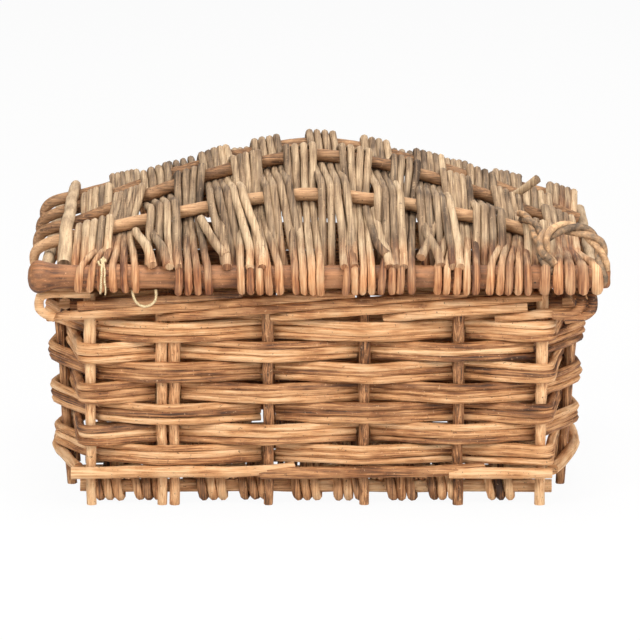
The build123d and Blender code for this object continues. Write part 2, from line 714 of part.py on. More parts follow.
def hinge_loop(x):
    """One strand of a hinge: up inside the border, over the stick and down outside."""
    inner = front_plane(BORDER_TOP)
    outer = border_depth(BORDER_TOP) + BORDER_ROD_RADIUS + GAP + HINGE_LOOP_RADIUS
    turn = wrap_turn(LID_HALF_DEPTH, LID_HEIGHT, HINGE_DISTANCE, 3, -1)
    route = [
        (inner, HINGE_LOOP_BOTTOM),
        (inner, BORDER_TOP),
        *turn,
        (outer, BORDER_HEIGHTS[1]),
        (outer, HINGE_LOOP_BOTTOM),
    ]
    return round_rod([(x, y, z) for y, z in route], HINGE_LOOP_RADIUS, HINGE_LOOP_SIDES)


for name, side in (("left_hinge_loops", -1), ("right_hinge_loops", 1)):
    middle = side * HINGE_COLUMN * LID_GROUP_SPACING
    shift = HINGE_LOOP_RADIUS + GAP / 2
    with BuildPart() as hinge_loops:
        add([hinge_loop(middle - shift), hinge_loop(middle + shift)])
    save(hinge_loops.part, name)
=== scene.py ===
from math import cos, hypot, pi, radians, sin
from random import Random

import bpy
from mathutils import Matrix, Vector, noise


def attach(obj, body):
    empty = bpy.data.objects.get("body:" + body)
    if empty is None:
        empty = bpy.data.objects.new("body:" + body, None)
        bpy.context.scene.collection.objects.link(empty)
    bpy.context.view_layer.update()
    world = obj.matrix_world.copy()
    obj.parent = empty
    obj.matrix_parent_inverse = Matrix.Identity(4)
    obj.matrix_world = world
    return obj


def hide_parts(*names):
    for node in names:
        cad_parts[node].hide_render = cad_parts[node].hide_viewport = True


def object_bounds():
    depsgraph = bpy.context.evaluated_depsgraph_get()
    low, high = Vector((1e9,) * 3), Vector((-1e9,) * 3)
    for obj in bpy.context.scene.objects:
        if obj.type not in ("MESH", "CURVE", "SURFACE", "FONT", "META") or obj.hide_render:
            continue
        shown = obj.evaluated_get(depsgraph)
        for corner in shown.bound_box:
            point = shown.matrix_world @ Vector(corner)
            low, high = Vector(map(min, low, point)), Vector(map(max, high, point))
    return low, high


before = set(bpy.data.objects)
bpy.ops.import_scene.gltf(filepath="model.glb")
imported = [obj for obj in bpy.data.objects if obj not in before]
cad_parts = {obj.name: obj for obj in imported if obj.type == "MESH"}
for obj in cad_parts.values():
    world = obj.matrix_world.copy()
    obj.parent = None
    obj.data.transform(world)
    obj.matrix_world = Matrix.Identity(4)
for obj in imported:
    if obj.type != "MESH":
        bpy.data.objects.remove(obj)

cad_box = [list(corner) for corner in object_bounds()]

# Studio: the camera stands straight in front, a little above the lid.
# It looks from far away through a long lens, so the hamper's sides stay hidden.
camera_data = bpy.data.cameras.new("camera")
camera_data.sensor_width = 36
camera_data.lens = 340.0
camera_data.clip_end = 60
camera = bpy.data.objects.new("camera", camera_data)
camera.location = (0.004, -6.088, 1.399)
LOOK_DOWN = 11.5
camera.rotation_euler = (radians(90 - LOOK_DOWN), 0, 0)
bpy.context.collection.objects.link(camera)
scene = bpy.context.scene
scene.camera = camera
scene.view_settings.view_transform = "Standard"


class Value:
    """A socket of a shader, with the sums that Python writes on it."""

    def __init__(self, skin, socket):
        self.skin = skin
        self.socket = socket

    def sum_with(self, operation, first, second):
        return self.skin.node(
            "ShaderNodeMath", {"operation": operation}, {0: first, 1: second}
        )

    def __add__(self, other):
        return self.sum_with("ADD", self, other)

    def __mul__(self, other):
        return self.sum_with("MULTIPLY", self, other)

    def __sub__(self, other):
        return self.sum_with("SUBTRACT", self, other)

    def __rsub__(self, other):
        return self.sum_with("SUBTRACT", other, self)

    __radd__ = __add__
    __rmul__ = __mul__


class Skin:
    """One material, and the way its nodes are made."""

    def __init__(self, name):
        self.material = bpy.data.materials.new(name)
        self.material.use_nodes = True
        self.tree = self.material.node_tree
        self.shader = self.tree.nodes["Principled BSDF"]

    def node(self, kind, settings, inputs, output=0):
        made = self.tree.nodes.new(kind)
        for setting, value in settings.items():
            if setting == "stops":
                ramp = made.color_ramp
                while len(ramp.elements) < len(value):
                    ramp.elements.new(0.5)
                for stop, (place, colour) in zip(ramp.elements, value):
                    stop.position = place
                    stop.color = (*colour, 1)
            else:
                setattr(made, setting, value)
        for socket, value in inputs.items():
            if isinstance(value, Value):
                self.tree.links.new(value.socket, made.inputs[socket])
            else:
                made.inputs[socket].default_value = value
        return Value(self, made.outputs[output])

    def feed(self, socket, value):
        self.tree.links.new(value.socket, self.shader.inputs[socket])


def paint(red, green, blue):
    """A colour given as it looks on a screen, from 0 to 255."""
    shares = [channel / 255 for channel in (red, green, blue)]
    return tuple(
        share / 12.92 if share <= 0.04045 else ((share + 0.055) / 1.055) ** 2.4
        for share in shares
    )


# Floor and light: a white floor and background, and four soft lamps, one at
# each side, one above and a weak one behind, as on a photographer's table.
bpy.ops.mesh.primitive_plane_add(size=60, location=(0, 0, -0.0005))
floor = bpy.context.object
floor.name = "studio_floor"
floor_skin = Skin("studio_floor")
camera_ray = floor_skin.node("ShaderNodeLightPath", {}, {}, "Is Camera Ray")
floor_skin.shader.inputs["Base Color"].default_value = (0.7, 0.7, 0.7, 1)
floor_skin.shader.inputs["Roughness"].default_value = 0.9
floor_skin.shader.inputs["Emission Color"].default_value = (1, 1, 1, 1)
floor_glow = floor_skin.node("ShaderNodeEmission", {}, {"Color": (1, 1, 1, 1), "Strength": 1.0})
floor_mix = floor_skin.node(
    "ShaderNodeMixShader",
    {},
    {0: camera_ray * 0.95, 1: Value(floor_skin, floor_skin.shader.outputs[0]), 2: floor_glow},
)
floor_output = floor_skin.tree.nodes["Material Output"]
floor_skin.tree.links.new(floor_mix.socket, floor_output.inputs["Surface"])
floor.data.materials.append(floor_skin.material)

world = bpy.data.worlds.new("studio")
world.use_nodes = True
scene.world = world
world_tree = world.node_tree
world_light = world_tree.nodes["Background"]
world_light.inputs["Color"].default_value = (0.80, 0.84, 0.90, 1)
world_light.inputs["Strength"].default_value = 0.24
world_white = world_tree.nodes.new("ShaderNodeBackground")
world_white.inputs["Color"].default_value = (1, 1, 1, 1)
world_white.inputs["Strength"].default_value = 1.0
light_path = world_tree.nodes.new("ShaderNodeLightPath")
seen = world_tree.nodes.new("ShaderNodeMath")
seen.operation = "MAXIMUM"
world_tree.links.new(light_path.outputs["Is Camera Ray"], seen.inputs[0])
world_tree.links.new(light_path.outputs["Is Transmission Ray"], seen.inputs[1])
world_mix = world_tree.nodes.new("ShaderNodeMixShader")
world_tree.links.new(seen.outputs[0], world_mix.inputs[0])
world_tree.links.new(world_light.outputs[0], world_mix.inputs[1])
world_tree.links.new(world_white.outputs[0], world_mix.inputs[2])
world_tree.links.new(world_mix.outputs[0], world_tree.nodes["World Output"].inputs["Surface"])
for name, place, turn, width, power in (
    ("lamp_left", (-1.6, -2.4, 2.0), (54, 0, -34), 1.0, 82),
    ("lamp_right", (2.1, -1.9, 1.3), (62, 0, 46), 1.5, 60),
    ("lamp_top", (0.1, -0.3, 2.4), (8, 0, 0), 1.2, 50),
    ("lamp_back", (0.2, 2.4, 1.7), (-58, 0, 0), 1.6, 16),
):
    lamp_data = bpy.data.lights.new(name, "AREA")
    lamp_data.size = width
    lamp_data.energy = power
    lamp_data.color = (1.0, 0.965, 0.92)
    lamp = bpy.data.objects.new(name, lamp_data)
    lamp.visible_camera = False
    lamp.location = place
    lamp.rotation_euler = [radians(angle) for angle in turn]
    bpy.context.collection.objects.link(lamp)

# Twine: a loose end of raffia hangs in a loop under the lid's front stick.
# It is a pale, fibrous strip, and both its ends go back up to the stick.
STICK_DEPTH = -200.0
LID_HEIGHT = 245.02


def place_of(x, y, z):
    """A place in millimetres, as Blender's metres."""
    return (x / 1000, y / 1000, z / 1000)


# Blender seeds noise_vector from the clock, so without this line each run differs.
SEED = 7
noise.seed_set(SEED)
BEND_SCALE, BEND_REACH = 30, 0.0011
KNOT_SCALE, KNOT_REACH = 190, 0.00045


def rods(name, routes, skins, thin=1.0, sides=2, steps=4):
    """Willow rods as one mesh: each route is its places and its radii in millimetres."""
    curve = bpy.data.curves.new(name, "CURVE")
    curve.dimensions = "3D"
    curve.bevel_depth = 0.001
    curve.bevel_resolution = sides
    curve.resolution_u = steps
    curve.use_fill_caps = True
    for places, radii in routes:
        spline = curve.splines.new("NURBS")
        spline.points.add(len(places) - 1)
        for index, (point, place) in enumerate(zip(spline.points, places)):
            point.co = (*place_of(*place), 1)
            share = index / (len(places) - 1)
            point.radius = thin * (radii[0] + (radii[-1] - radii[0]) * share)
            if len(radii) == len(places):
                point.radius = thin * radii[index]
        spline.order_u = 3
        spline.use_endpoint_u = True
    piece = bpy.data.objects.new(name, curve)
    bpy.context.collection.objects.link(piece)
    bpy.ops.object.select_all(action="DESELECT")
    piece.select_set(True)
    bpy.context.view_layer.objects.active = piece
    bpy.ops.object.convert(target="MESH")
    piece = bpy.context.object
    mesh = piece.data
    for vertex in mesh.vertices:
        wander = noise.noise_vector(vertex.co * BEND_SCALE) * BEND_REACH
        knots = noise.noise_vector(vertex.co * KNOT_SCALE) * KNOT_REACH
        bent = vertex.co + wander + knots
        vertex.co = [min(max(axis, low), high) for axis, low, high in zip(bent, *cad_box)]
    for skin in skins:
        mesh.materials.append(skin.material)
    for face in mesh.polygons:
        is_cut_end = len(face.vertices) > 4
        face.use_smooth = not is_cut_end
        face.material_index = len(skins) - 1 if is_cut_end else 0
    return piece


raffia = Skin("raffia")
raffia_place = raffia.node("ShaderNodeTexCoord", {}, {}, "Object")
raffia_fibre = raffia.node(
    "ShaderNodeTexNoise", {}, {"Vector": raffia_place, "Scale": 900.0, "Detail": 3.0}
)
raffia.feed(
    "Base Color",
    raffia.node(
        "ShaderNodeValToRGB",
        {"stops": ((0.3, paint(150, 124, 84)), (0.7, paint(232, 214, 172)))},
        {0: raffia_fibre},
    ),
)
raffia.feed(
    "Normal",
    raffia.node(
        "ShaderNodeBump", {}, {"Height": raffia_fibre, "Strength": 0.6, "Distance": 0.0006}
    ),
)
raffia.shader.inputs["Roughness"].default_value = 0.8
TWINE_LOOP = (
    (-182.5, 4.0, 12.3),
    (-181.0, 6.0, 23.0),
    (-172.5, 8.0, 29.5),
    (-162.0, 7.0, 27.0),
    (-158.0, 5.5, 20.0),
    (-159.0, 4.0, 12.3),
)
twine_places = [(x, STICK_DEPTH - ahead, LID_HEIGHT - below) for x, ahead, below in TWINE_LOOP]
twine_curve = bpy.data.curves.new("twine_strand", "CURVE")
twine_curve.dimensions = "3D"
twine_curve.bevel_depth = 0.0013
twine_curve.bevel_resolution = 2
twine_curve.resolution_u = 6
twine_curve.use_fill_caps = True
twine_line = twine_curve.splines.new("NURBS")
twine_line.points.add(len(twine_places) - 1)
for point, place in zip(twine_line.points, twine_places):
    point.co = (*place_of(*place), 1)
twine_line.order_u = 3
twine_line.use_endpoint_u = True
twine_curve.materials.append(raffia.material)
twine_strand = bpy.data.objects.new("twine_strand", twine_curve)
bpy.context.collection.objects.link(twine_strand)
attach(twine_strand, "lid")
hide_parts("twine_loop")
place_of(*twine_places[0])

# Stakes: thick uprights of brown willow, cut flat at the floor.
# They lean out towards the rim, and a pair of them stands left of the middle.
WARM = (paint(60, 33, 16), paint(142, 91, 51), paint(200, 146, 96), paint(236, 194, 148))
BROWN = (paint(50, 27, 13), paint(146, 96, 56), paint(210, 156, 108), paint(242, 202, 154))
GREY = (paint(68, 51, 36), paint(120, 96, 72), paint(160, 133, 103), paint(210, 182, 146))
ALONG = {"x": (22.0, 520.0, 520.0), "y": (520.0, 22.0, 520.0), "z": (520.0, 520.0, 22.0)}
LEVEL = (22.0, 22.0, 560.0)
ACROSS_LID = (560.0, 24.0, 24.0)


TONE_STOPS = (0.14, 0.36, 0.58, 0.86)
RED_FROM, RED_FULL = 0.292, 0.258


def willow(name, tones, grain, dust=0.25, shine=0.55, low=None, crack=1.55):
    """Old willow: streaks along the rod, a tone of its own on each rod, and wear."""
    skin = Skin(name)
    place = skin.node("ShaderNodeTexCoord", {}, {}, "Object")
    chance = skin.node("ShaderNodeNewGeometry", {}, {}, "Random Per Island")
    spread = skin.node(
        "ShaderNodeVectorMath", {"operation": "SCALE"}, {0: (3.1, 4.7, 3.9), "Scale": chance}
    )
    own_place = skin.node("ShaderNodeVectorMath", {"operation": "ADD"}, {0: place, 1: spread})
    stretched = skin.node("ShaderNodeMapping", {}, {"Vector": own_place, "Scale": grain})
    streak = skin.node(
        "ShaderNodeTexNoise",
        {},
        {"Vector": stretched, "Scale": 1.0, "Detail": 5.0, "Roughness": 0.68},
    )
    patch = skin.node(
        "ShaderNodeTexNoise", {}, {"Vector": own_place, "Scale": 30.0, "Detail": 3.0}
    )
    fleck = skin.node(
        "ShaderNodeTexNoise", {}, {"Vector": own_place, "Scale": 380.0, "Detail": 2.0}
    )
    level = (streak - 0.5) * crack + patch * 0.62 + chance * 0.44 - 0.035
    bark = skin.node(
        "ShaderNodeValToRGB",
        {"stops": tuple(zip(TONE_STOPS, tones))},
        {0: level},
    )
    worn = skin.node(
        "ShaderNodeMapRange", {}, {"Value": fleck, "From Min": 0.64, "From Max": 0.76}
    )
    pocked = skin.node(
        "ShaderNodeMapRange", {}, {"Value": 1 - fleck, "From Min": 0.66, "From Max": 0.74}
    )
    pale = skin.node(
        "ShaderNodeMix", {"data_type": "RGBA"}, {0: worn * 0.5, 6: bark, 7: (*tones[3], 1)}, 2
    )
    colour = skin.node(
        "ShaderNodeMix", {"data_type": "RGBA"}, {0: pocked * 0.8, 6: pale, 7: (*tones[0], 1)}, 2
    )
    if low:
        split = skin.node("ShaderNodeSeparateXYZ", {}, {"Vector": place}, "Z")
        height = split + patch * 0.030
        reddened = skin.node(
            "ShaderNodeMapRange",
            {},
            {"Value": height, "From Min": RED_FROM, "From Max": RED_FULL},
        )
        low_bark = skin.node(
            "ShaderNodeValToRGB",
            {"stops": tuple(zip(TONE_STOPS, low))},
            {0: level},
        )
        colour = skin.node(
            "ShaderNodeMix", {"data_type": "RGBA"}, {0: reddened, 6: colour, 7: low_bark}, 2
        )
    dusty = skin.node(
        "ShaderNodeMapRange", {}, {"Value": patch, "From Min": 0.42, "From Max": 0.70}
    )
    dusted = skin.node(
        "ShaderNodeMix",
        {"data_type": "RGBA"},
        {0: dusty * dust, 6: colour, 7: (*paint(150, 134, 112), 1)},
        2,
    )
    skin.feed("Base Color", dusted)
    skin.feed("Roughness", shine + streak * 0.3)
    relief = streak * 0.9 + fleck * 0.3
    skin.feed(
        "Normal",
        skin.node("ShaderNodeBump", {}, {"Height": relief, "Strength": 0.9, "Distance": 0.0013}),
    )
    return skin


cut_willow = Skin("cut_willow")
cut_place = cut_willow.node("ShaderNodeTexCoord", {}, {}, "Object")
cut_grain = cut_willow.node(
    "ShaderNodeTexNoise", {}, {"Vector": cut_place, "Scale": 700.0, "Detail": 2.0}
)
cut_willow.feed(
    "Base Color",
    cut_willow.node(
        "ShaderNodeValToRGB",
        {"stops": ((0.3, paint(112, 82, 54)), (0.7, paint(196, 162, 118)))},
        {0: cut_grain},
    ),
)
cut_willow.shader.inputs["Roughness"].default_value = 0.9
stake_willow = willow("stake_willow", BROWN, ALONG["z"], 0.15)

chance = Random(SEED)
FRONT_STAKES = (-226.0, -149.0, -48.0, 48.0, 143.0, 226.0)
PAIR_SHIFT = 6.15
BODY_HALF_DEPTH = 145.0
FRONT_LEAN = 28.0
STAKE_TOP = 224.0


def front_plane(height):
    """How far in front of the middle the front stakes stand at a height."""
    return BODY_HALF_DEPTH + FRONT_LEAN * height / STAKE_TOP


def side_stakes(height, side):
    """The two stakes of an end wall at a height, front one first."""
    x = side * (226 + 24 + 14 * height / STAKE_TOP)
    spread = 1 + FRONT_LEAN / BODY_HALF_DEPTH * height / STAKE_TOP
    return [(x, place * 50 * spread) for place in (-1, 1)]


def upright(foot, head, thin=5.0, thick=6.0):
    """A stake with a slight wander between its foot and its head."""
    places = []
    radii = []
    for step in range(8):
        share = step / 7
        edge = 0 if step in (0, 7) else 1
        places.append(
            (
                foot[0] + (head[0] - foot[0]) * share + edge * chance.uniform(-0.7, 0.7),
                foot[1] + (head[1] - foot[1]) * share + edge * chance.uniform(-0.5, 0.5),
                STAKE_TOP * share,
            )
        )
        radii.append(thin + (thick - thin) * share + chance.uniform(-0.25, 0.25))
    return places, radii


for side_name, side in (("left", -1), ("right", 1)):
    for face_name, face in (("front", -1), ("rear", 1)):
        corner = upright(
            (side * 226, face * front_plane(0)), (side * 226, face * front_plane(STAKE_TOP))
        )
        stake = rods(face_name + "_" + side_name + "_corner", [corner], [stake_willow, cut_willow])
        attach(stake, "hamper")
        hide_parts(face_name + "_" + side_name + "_corner_stake")
    ends = [
        upright(foot, head)
        for foot, head in zip(side_stakes(0, side), side_stakes(STAKE_TOP, side))
    ]
    stake = rods(side_name + "_uprights", ends, [stake_willow, cut_willow])
    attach(stake, "hamper")
    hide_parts(side_name + "_stakes")
for face_name, face in (("front", -1), ("rear", 1)):
    line = []
    for order, x in enumerate(FRONT_STAKES[1:-1]):
        shifts = (-PAIR_SHIFT, PAIR_SHIFT) if face == -1 and order == 0 else (0,)
        for shift in shifts:
            line.append(
                upright(
                    (x + shift, face * front_plane(0)),
                    (x + shift, face * front_plane(STAKE_TOP)),
                )
            )
    stake = rods(face_name + "_uprights", line, [stake_willow, cut_willow])
    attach(stake, "hamper")
    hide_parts(face_name + "_stakes")

# Walls: seven bands of three brown willow rods, woven in front of one stake and
# behind the next. Each rod is about four stakes long, thick at one end and thin
# at the other, and its ends are tucked away behind a stake.
WEAVE_BOTTOM = 43.7
ROD_PITCH = 7.2
WEAVE_REACH = 9.9
wall_willow = willow("wall_willow", WARM, LEVEL, 0.12)
WALKS = (((1, 0), (0, -1)), ((0, 1), (1, 0)), ((-1, 0), (0, 1)), ((0, -1), (-1, 0)))


def stakes_round(height):
    """All sixteen stakes at a height, each with its place and the wall it starts."""
    depth = front_plane(height)
    ring = [((x, -depth), 0) for x in FRONT_STAKES]
    ring += [(place, 1) for place in side_stakes(height, 1)]
    ring += [((x, depth), 2) for x in reversed(FRONT_STAKES)]
    ring += [(place, 3) for place in reversed(side_stakes(height, -1))]
    return ring


CORNER_WALLS = {0: (3, 0), 5: (0, 1), 8: (1, 2), 13: (2, 3)}


def passing(ring, order, outside, reach):
    """Places of a rod as it passes one stake, in walking order."""
    (x, y), wall = ring[order]
    ahead, out = WALKS[wall]
    if order in CORNER_WALLS:
        before, after = CORNER_WALLS[order]
        ahead_in, out_in = WALKS[before]
        ahead_out, out_out = WALKS[after]
        if outside:
            offsets = ((reach, -9), (reach, 0.41 * reach))
            turn = [
                (x + out_in[0] * o + ahead_in[0] * a, y + out_in[1] * o + ahead_in[1] * a)
                for o, a in offsets
            ]
            offsets = ((reach, -0.41 * reach), (reach, 9))
            turn += [
                (x + out_out[0] * o + ahead_out[0] * a, y + out_out[1] * o + ahead_out[1] * a)
                for o, a in offsets
            ]
            return turn
        near = 0.95 * reach
        return [
            (x - out_in[0] * near - ahead_in[0] * 9, y - out_in[1] * near - ahead_in[1] * 9),
            (x - out_out[0] * near + ahead_out[0] * 9, y - out_out[1] * near + ahead_out[1] * 9),
        ]
    side = reach if outside else -reach
    half = 8 + (PAIR_SHIFT if order == 1 else 0)
    return [
        (x + out[0] * side + ahead[0] * along, y + out[1] * side + ahead[1] * along)
        for along in (-half, half)
    ]


def wall_rod(band, row, first, count):
    """One rod of a band, from behind one stake to behind another."""
    middle = WEAVE_BOTTOM + ROD_PITCH * (3 * band + 1.5)
    above = ROD_PITCH * (row - 1)
    ring = stakes_round(middle + above)
    places = []
    reach = WEAVE_REACH + chance.uniform(-1.2, 1.4)
    for step in range(count + 1):
        order = (first + step) % 16
        outside = (order + band) % 2 == 1
        gather = 0.93 if outside else 0.98
        level = middle + above * gather + chance.uniform(-1.0, 1.0)
        passed = passing(ring, order, outside, reach)
        if step == 0:
            passed = passed[-1:]
        if step == count:
            passed = passed[:1]
        places += [(x, y, level + chance.uniform(-0.4, 0.4)) for x, y in passed]
        if 0 < step < count and chance.random() < 0.5:
            places[-1] = (*places[-1][:2], places[-1][2] + chance.uniform(-0.8, 0.8))
    thick = chance.uniform(4.2, 4.8)
    thin = chance.uniform(3.4, 4.0)
    return places, ((thick, thin) if chance.random() < 0.5 else (thin, thick))


for layer, bands in (("lower", range(3)), ("upper", range(3, 7))):
    band_rods = []
    for band in bands:
        for row in range(3):
            first = (band + 2 * chance.randrange(8)) % 16
            done = 0
            while done < 16:
                count = min(chance.choice((4, 4, 6)), 16 - done)
                band_rods.append(wall_rod(band, row, (first + done) % 16, count))
                done += count
    weave = rods(layer + "_bands", band_rods, [wall_willow, cut_willow], steps=3)
    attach(weave, "hamper")
    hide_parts(*(wall + "_" + layer + "_weave"
                         for wall in ("front", "right", "rear", "left")))

# Lowest row: one thick rod after another, laid outside all the stakes.
# Each tapers to where the next one starts, and only the weave above holds it.
BOTTOM_HEIGHT = 37.0
BOTTOM_REACH = 12.9
for wall, (name, (ahead, out)) in enumerate(zip(("front", "right", "rear", "left"), WALKS)):
    ring = [stake[0] for stake in stakes_round(BOTTOM_HEIGHT)]
    ring = {0: ring[0:6], 1: ring[5:9], 2: ring[8:14], 3: ring[13:16] + ring[0:1]}[wall]
    line = [(x + out[0] * BOTTOM_REACH, y + out[1] * BOTTOM_REACH) for x, y in ring]
    trim = 11.5 if wall in (0, 2) else -5.0
    line[0] = (line[0][0] - ahead[0] * trim, line[0][1] - ahead[1] * trim)
    line[-1] = (line[-1][0] + ahead[0] * trim, line[-1][1] + ahead[1] * trim)
    spans = ((0, 2), (2, 4), (4, 5)) if wall in (0, 2) else ((0, 3),)
    row_rods = []
    for start, end in spans:
        places = [
            (x, y, BOTTOM_HEIGHT + chance.uniform(-1.2, 1.2)) for x, y in line[start : end + 1]
        ]
        if wall in (0, 2):
            x, y, z = places[0]
            places[0] = (x - ahead[0] * 9, y - out[1] * 2, z - 1.5)
            if end < 5:
                x, y, z = places[-1]
                places.append((x + ahead[0] * 26, y - out[1] * 7, z + 3.5))
        if wall in (1, 3):
            places.insert(2, tuple((a + b) / 2 for a, b in zip(places[1], places[2])))
        row_rods.append((places, (6.3, 5.2)))
    row = rods(name + "_bottom_row", row_rods, [wall_willow, cut_willow])
    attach(row, "hamper")
    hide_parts(name + ("_bottom_rods" if wall in (0, 2) else "_bottom_rod"))

# Floor: five round sticks from end to end, the outer two close behind the stakes.
# Pairs of rods are bent round an outer stick and woven over and under the rest.
floor_stick_willow = willow("floor_stick_willow", BROWN, ALONG["x"], 0.15)
floor_rod_willow = willow("floor_rod_willow", BROWN, ACROSS_LID, 0.2)
FLOOR_HEIGHT = 17.0
floor_edge = front_plane(FLOOR_HEIGHT) - 6 - 0.3 - 7
FLOOR_DEPTHS = [floor_edge * share for share in (-1, -0.5, 0, 0.5, 1)]


def floor_stick(depth):
    """A round stick of the floor, a little uneven along its length."""
    places = [
        (
            -238 + 476 * step / 9,
            depth + chance.uniform(-0.5, 0.5),
            FLOOR_HEIGHT + chance.uniform(-0.4, 0.4),
        )
        for step in range(10)
    ]
    return places, [chance.uniform(6.3, 7.0) for place in places]


for name, node, depths in (
    ("floor_front_stick", "base_front_stick", FLOOR_DEPTHS[:1]),
    ("floor_middle_sticks", "base_inner_sticks", FLOOR_DEPTHS[1:-1]),
    ("floor_rear_stick", "base_rear_stick", FLOOR_DEPTHS[-1:]),
):
    sticks = rods(name, [floor_stick(depth) for depth in depths], [floor_stick_willow, cut_willow])
    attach(sticks, "hamper")
    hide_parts(node)


def round_turn(depth, height, distance, first, last):
    """Bend of a rod round a stick that lies along the hamper, in eighths of a turn."""
    step = 45 if last > first else -45
    corner = distance / cos(pi / 8)
    return [
        (depth + corner * cos(radians(angle + 22.5)), height + corner * sin(radians(angle + 22.5)))
        for angle in range(first, last + step, step)
    ]


def floor_rod(x, shift, face):
    """A floor rod from its bend round the front or rear stick to the other one."""
    route = round_turn(FLOOR_DEPTHS[0], FLOOR_HEIGHT, 10.6, 45, 270)
    for order, depth in enumerate(FLOOR_DEPTHS[1:]):
        over = 10.9 if order % 2 == 0 else -10.9
        ends = (-7, 7) if order < 3 else (-7, 4)
        route += [(depth + along, FLOOR_HEIGHT + over) for along in ends]
    slant = chance.uniform(2.0, 8.5)
    places = []
    for index, (y, z) in enumerate(route):
        lean = slant * (index - 2.5) / 2.5 if index < 6 else slant * (14 - index) / 8
        if face == 1:
            y, z = -y, 2 * FLOOR_HEIGHT - z
        pitch = 9.6 if index < 6 else 6.4
        places.append((x + pitch * shift + lean * 0.55 + chance.uniform(-0.4, 0.4), y, z))
    thick = chance.uniform(4.3, 5.0)
    return places, [thick if index < 6 else thick - 1.1 for index in range(len(places))]


floor_columns = []
for order, (left, right) in enumerate(zip(FRONT_STAKES, FRONT_STAKES[1:])):
    free_left = left + 6 + (PAIR_SHIFT if order == 1 else 0)
    free_right = right - 6 - (PAIR_SHIFT if order == 0 else 0)
    count = int((free_right - free_left) / 19.4)
    pitch = (free_right - free_left) / count
    floor_columns += [free_left + pitch * (place + 0.5) for place in range(count)]
for face, name in ((-1, "base_weavers_from_front"), (1, "base_weavers_from_rear")):
    pairs = []
    for order, x in enumerate(floor_columns):
        if order % 2 == (0 if face == -1 else 1):
            pairs += [floor_rod(x, shift, face) for shift in (-1, 0, 1)]
    floor_rods = rods(name.replace("base", "floor"), pairs, [floor_rod_willow, cut_willow], steps=3)
    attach(floor_rods, "hamper")
    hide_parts(name)

# Border: the stakes' thin ends are bent down and rolled along the rim, so that
# thick rods climb slantwise across each other's ends. Two rods lie inside as well,
# and one on top at the rear.
border_willow = willow("border_willow", WARM, LEVEL, 0.22)
BORDER_LOW = 200.0
BORDER_HIGH = 225.4
BORDER_REACH = 12.1


def border_place(wall, along, height, reach):
    """A place on the rim: how far along a wall, how high, and how far outside the stakes."""
    if wall in ("front", "rear"):
        side = -1 if wall == "front" else 1
        return along, side * (front_plane(height) + reach), height
    side = 1 if wall == "right" else -1
    return side * (side_stakes(height, 1)[0][0] + reach), along, height


def border_rod(wall, start, end, thick, climb=1):
    """A rim rod that starts low behind the others and ends high, turned inwards."""
    places = [border_place(wall, start, BORDER_LOW - 2, 3)]
    for share in (0.06, 0.25, 0.45, 0.65, 0.85, 0.97):
        height = BORDER_LOW + (BORDER_HIGH - BORDER_LOW) * share * climb
        bulge = chance.uniform(-0.5, 0.4)
        places.append(
            border_place(wall, start + (end - start) * share, height, BORDER_REACH + bulge)
        )
    radii = [thick * share for share in (0.85, 1, 1.02, 1, 0.97, 0.9, 0.8)]
    return places, radii


BORDER_RUNS = {
    "front": [(-268 + 112 * order, 48 + 112 * order) for order in range(-2, 5)],
    "rear": [(272 - 112 * order, -44 - 112 * order) for order in range(-2, 5)],
    "right": [(-150 + 84 * order, 88 + 84 * order) for order in range(-2, 4)],
    "left": [(150 - 84 * order, -88 - 84 * order) for order in range(-2, 4)],
}
BORDER_ENDS = {"front": (-270, 259), "rear": (-281, 281), "right": (-158, 178), "left": (-158, 178)}
for wall, runs in BORDER_RUNS.items():
    low, high = BORDER_ENDS[wall]
    rim_rods = []
    for start, end in runs:
        places, radii = border_rod(wall, start, end, chance.uniform(4.7, 5.3))
        axis = 0 if wall in ("front", "rear") else 1
        kept = [
            (place, radius)
            for place, radius in zip(places, radii)
            if low <= place[axis] <= high
        ]
        if len(kept) >= 3:
            rim_rods.append(([place for place, radius in kept], [radius for place, radius in kept]))
    inside = 246 if wall in ("front", "rear") else 160
    for height in (BORDER_LOW - 2.5, BORDER_LOW + 10.0):
        places = [
            border_place(wall, -inside + 2 * inside * step / 6, height, -BORDER_REACH)
            for step in range(7)
        ]
        rim_rods.append((places, (6.3, 6.0)))
    if wall == "rear":
        top_places = [border_place(wall, -246 + 82 * step, 223.5, 9) for step in range(7)]
        rim_rods.append((top_places, (5.2, 4.9)))
    rim = rods(wall + "_rim", rim_rods, [border_willow, cut_willow])
    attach(rim, "hamper")
    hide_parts(wall + "_border")

# Rim ends: at each front corner the last rim rods turn round the corner in a bend
# and go back under the rim, one at the left and two, one in the other, at the right.
loop_willow = willow("loop_willow", WARM, LEVEL, 0.15)
rim_front = front_plane(212) + BORDER_REACH
LOOP_WAYS = (
    (
        (-225, -rim_front - 1, 226), (-255, -rim_front - 2, 226), (-273, -rim_front, 224),
        (-276.5, -rim_front + 6, 214), (-274, -rim_front + 2, 204), (-260, -rim_front - 1, 200),
    ),
    (
        (268, -rim_front + 22, 229), (272, -rim_front + 8, 229), (276.5, -rim_front - 2, 220),
        (276, -rim_front - 5, 209), (266, -rim_front - 6, 201.5), (248, -rim_front - 4, 198.5),
    ),
    (
        (258, -rim_front + 20, 228), (262, -rim_front + 6, 227), (265.5, -rim_front - 2, 217),
        (262, -rim_front - 5, 207.5), (250, -rim_front - 5, 203.5), (236, -rim_front - 2, 203),
    ),
)
loop_rods = [(way, (5.4, 4.6)) for way in LOOP_WAYS]
loops = rods("rim_end_loops", loop_rods, [loop_willow, cut_willow], steps=6)
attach(loops, "hamper")
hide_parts("rim_loops")

